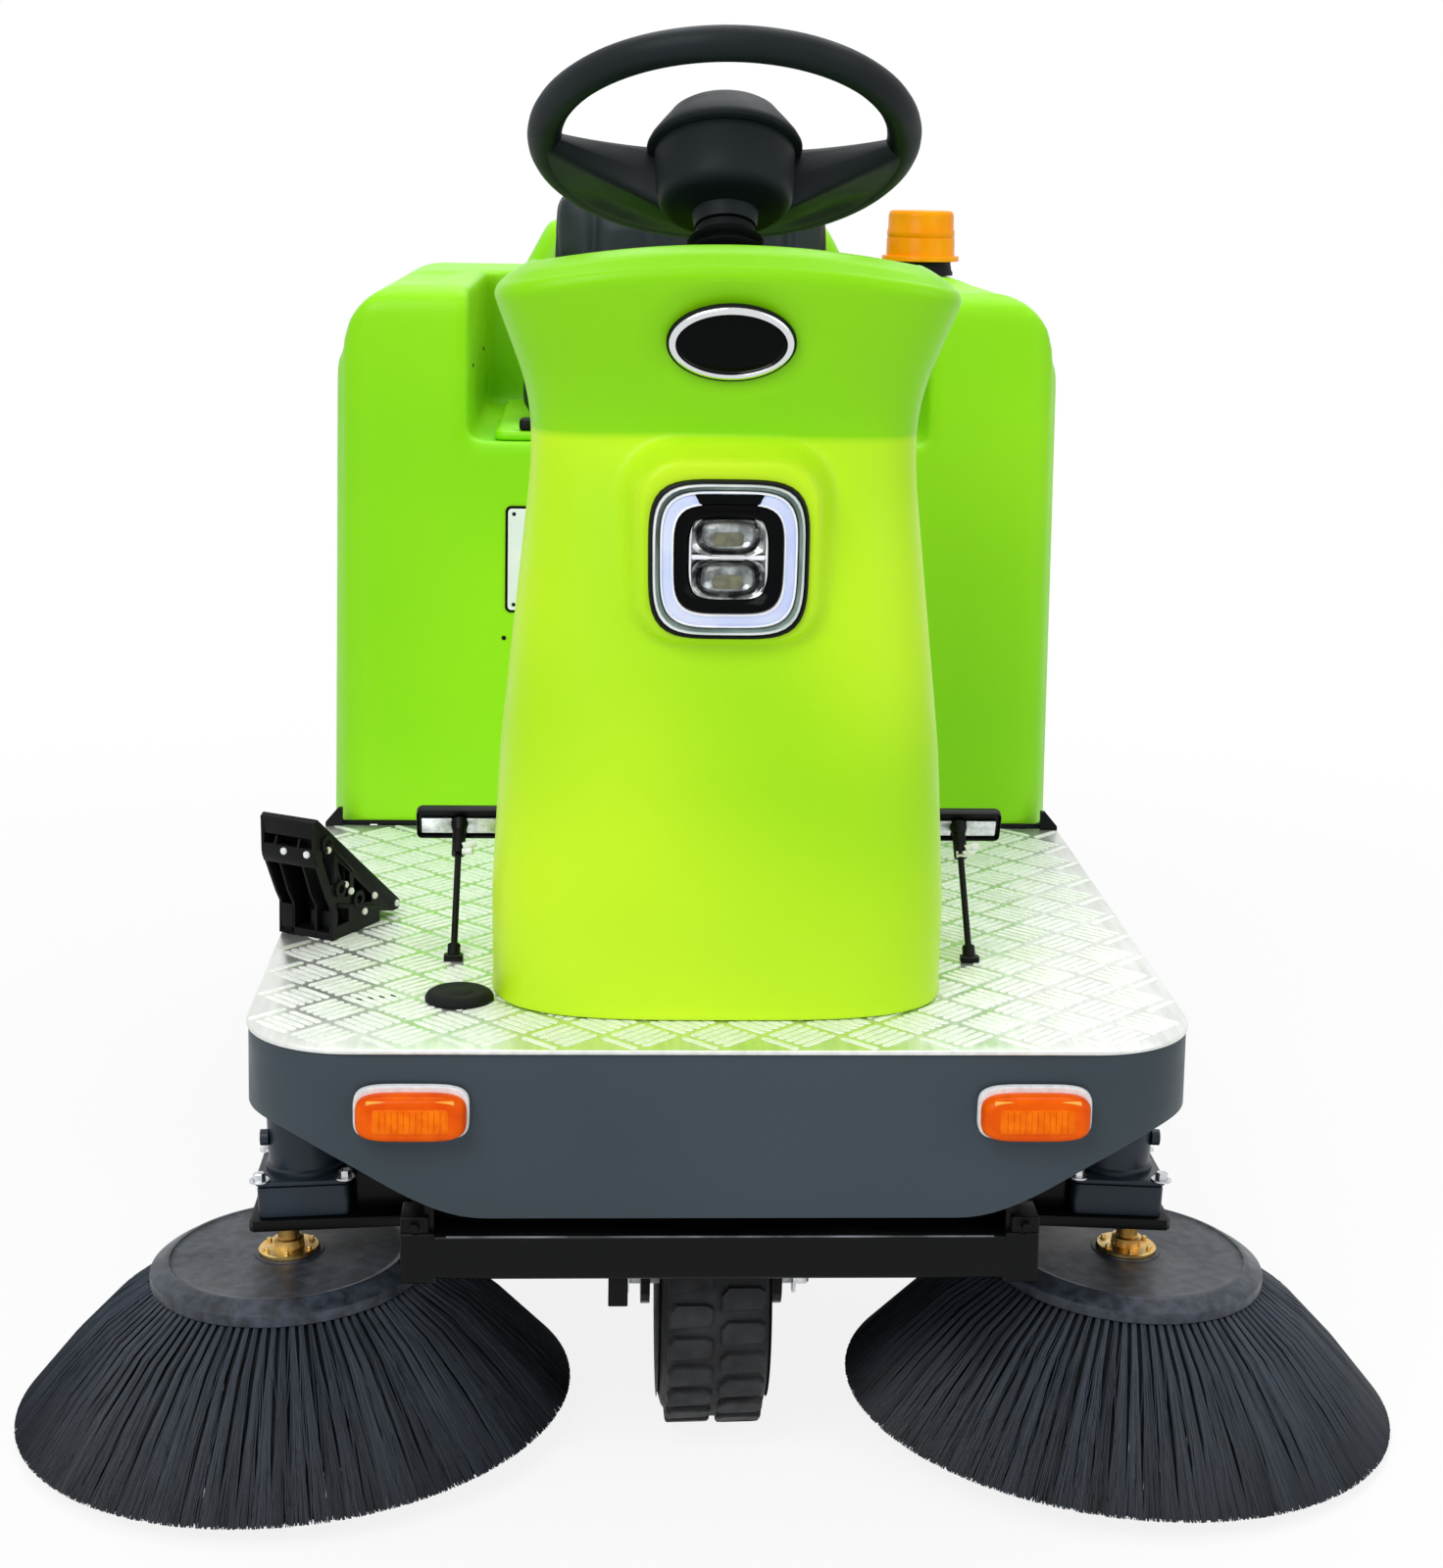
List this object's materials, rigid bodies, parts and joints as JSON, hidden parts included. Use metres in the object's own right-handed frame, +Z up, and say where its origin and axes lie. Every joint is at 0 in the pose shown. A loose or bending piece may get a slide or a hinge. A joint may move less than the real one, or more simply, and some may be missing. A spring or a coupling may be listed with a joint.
{
  "type": "ride-on electric sweeper",
  "caption": "Ride-on electric sweeping machine with steered front wheel, lime cowl and body, seat, two side brushes, roller brush and pull-out hopper.",
  "frame": {"origin": "on the floor, under the middle of the machine's length and width", "axes": "+Z up, +Y to the rear, +X to the driver's left"},
  "size_m": [1.2134, 1.555, 1.2015],
  "materials": {
    "lime_moulding": "satin moulded plastic",
    "slate_paint": "satin slate paint",
    "black_paint": "satin black paint",
    "motor_paint": "satin dark paint",
    "tread_aluminium": "five-bar tread plate",
    "black_plastic": "fine grained",
    "battery_case": "moulded case",
    "brush_plastic": "mottled moulded",
    "bristle": "stiff nylon bristle",
    "tyre_rubber": "matt",
    "boot_rubber": "matt",
    "leatherette": "grained, sewn",
    "zinc_plate": "yellow plated",
    "axle_steel": "turned",
    "rim_steel": "silver paint",
    "chrome_trim": "polished",
    "amber_lens": "moulded lens",
    "red_lens": "moulded lens",
    "lamp_lens": "clear lens over reflectors",
    "white_plate": "plain"
  },
  "bodies": {
    "chassis": {"tread_plate": "tread_aluminium", "front_apron": "slate_paint", "platform_frame": "black_paint", "steering_head": "black_paint", "side_plate_left": "slate_paint", "side_plate_right": "slate_paint", "rear_frame": "black_paint", "side_skirt_left": "slate_paint", "side_skirt_right": "slate_paint", "battery_pack": "battery_case", "rear_bumper": "black_plastic", "steering_column": "black_paint", "steering_boot": "boot_rubber", "front_cowl": "lime_moulding", "dash_panel": "black_plastic", "headlight": "lamp_lens", "badge": "chrome_trim", "marker_lamp_left": "amber_lens", "marker_lamp_right": "amber_lens", "front_crossbar": "black_paint", "rear_body": "lime_moulding", "rear_hood": "lime_moulding", "beacon_base": "black_plastic", "beacon_lens": "amber_lens", "placard": "white_plate", "tail_lamp_left": "red_lens", "tail_lamp_right": "red_lens", "floor_cap": "boot_rubber", "brake_pedal": "black_paint", "lift_pedal": "black_paint", "accelerator_pedal": "black_plastic", "brush_hood": "black_paint", "front_flap": "boot_rubber", "stub_axle_left": "axle_steel", "stub_axle_right": "axle_steel"},
    "front_fork": {"steering_fork": "black_paint", "front_axle": "axle_steel"},
    "front_wheel": {"front_tyre": "tyre_rubber", "front_rim": "rim_steel"},
    "steering_wheel": {"steering_wheel": "black_plastic"},
    "rear_wheel_left": {"rear_tyre_left": "tyre_rubber", "rear_rim_left": "rim_steel"},
    "rear_wheel_right": {"rear_tyre_right": "tyre_rubber", "rear_rim_right": "rim_steel"},
    "brush_arm_left": {"brush_arm_left": "black_paint", "brush_motor_left": "motor_paint"},
    "brush_arm_right": {"brush_arm_right": "black_paint", "brush_motor_right": "motor_paint"},
    "side_brush_left": {"side_brush_hub_left": "zinc_plate", "side_brush_disc_left": "brush_plastic", "side_brush_bristles_left": "bristle"},
    "side_brush_right": {"side_brush_hub_right": "zinc_plate", "side_brush_disc_right": "brush_plastic", "side_brush_bristles_right": "bristle"},
    "main_brush": {"main_brush": "bristle"},
    "seat_lid": {"seat_lid": "lime_moulding", "seat_cushion": "leatherette", "seat_backrest": "leatherette"},
    "hopper": {"hopper": "slate_paint", "hopper_handle": "black_plastic"}
  },
  "joints": [
    {"name": "steer", "type": "hinge", "parent": "chassis", "child": "front_fork", "pos_m": [0, -0.5345, 0.3], "axis": [0, 0, 1], "range_deg": [-45, 45]},
    {"name": "front_wheel_spin", "type": "hinge", "parent": "front_fork", "child": "front_wheel", "pos_m": [0, -0.5345, 0.125], "axis": [1, 0, 0], "continuous": true},
    {"name": "steering_wheel_turn", "type": "hinge", "parent": "chassis", "child": "steering_wheel", "pos_m": [0, -0.4285, 1.111], "axis": [0, 0.4848, 0.8746], "range_deg": [-135, 135]},
    {"name": "rear_wheel_spin_left", "type": "hinge", "parent": "chassis", "child": "rear_wheel_left", "pos_m": [0.341, 0.4135, 0.145], "axis": [1, 0, 0], "continuous": true},
    {"name": "rear_wheel_spin_right", "type": "hinge", "parent": "chassis", "child": "rear_wheel_right", "pos_m": [-0.341, 0.4135, 0.145], "axis": [1, 0, 0], "continuous": true},
    {"name": "brush_lift_left", "type": "hinge", "parent": "chassis", "child": "brush_arm_left", "pos_m": [0.245, -0.5325, 0.206], "axis": [0, -1, 0], "range_deg": [0, 12]},
    {"name": "brush_lift_right", "type": "hinge", "parent": "chassis", "child": "brush_arm_right", "pos_m": [-0.245, -0.5325, 0.206], "axis": [0, 1, 0], "range_deg": [0, 12]},
    {"name": "side_brush_spin_left", "type": "hinge", "parent": "brush_arm_left", "child": "side_brush_left", "pos_m": [0.37, -0.5325, 0.20054], "axis": [0.0436, 0, 0.999], "continuous": true},
    {"name": "side_brush_spin_right", "type": "hinge", "parent": "brush_arm_right", "child": "side_brush_right", "pos_m": [-0.37, -0.5325, 0.20054], "axis": [-0.0436, 0, 0.999], "continuous": true},
    {"name": "main_brush_spin", "type": "hinge", "parent": "chassis", "child": "main_brush", "pos_m": [0, 0.0835, 0.138], "axis": [1, 0, 0], "continuous": true},
    {"name": "seat_lid_open", "type": "hinge", "parent": "chassis", "child": "seat_lid", "pos_m": [0, 0.0185, 0.8093], "axis": [1, 0, 0], "range_deg": [0, 70]},
    {"name": "hopper_slide", "type": "slide", "parent": "chassis", "child": "hopper", "axis": [0, 1, 0], "range_m": [0, 0.45]}
  ],
  "couplings": [
    {"joint": "steering_wheel_turn", "follows": "steer", "ratio": 3}
  ]
}
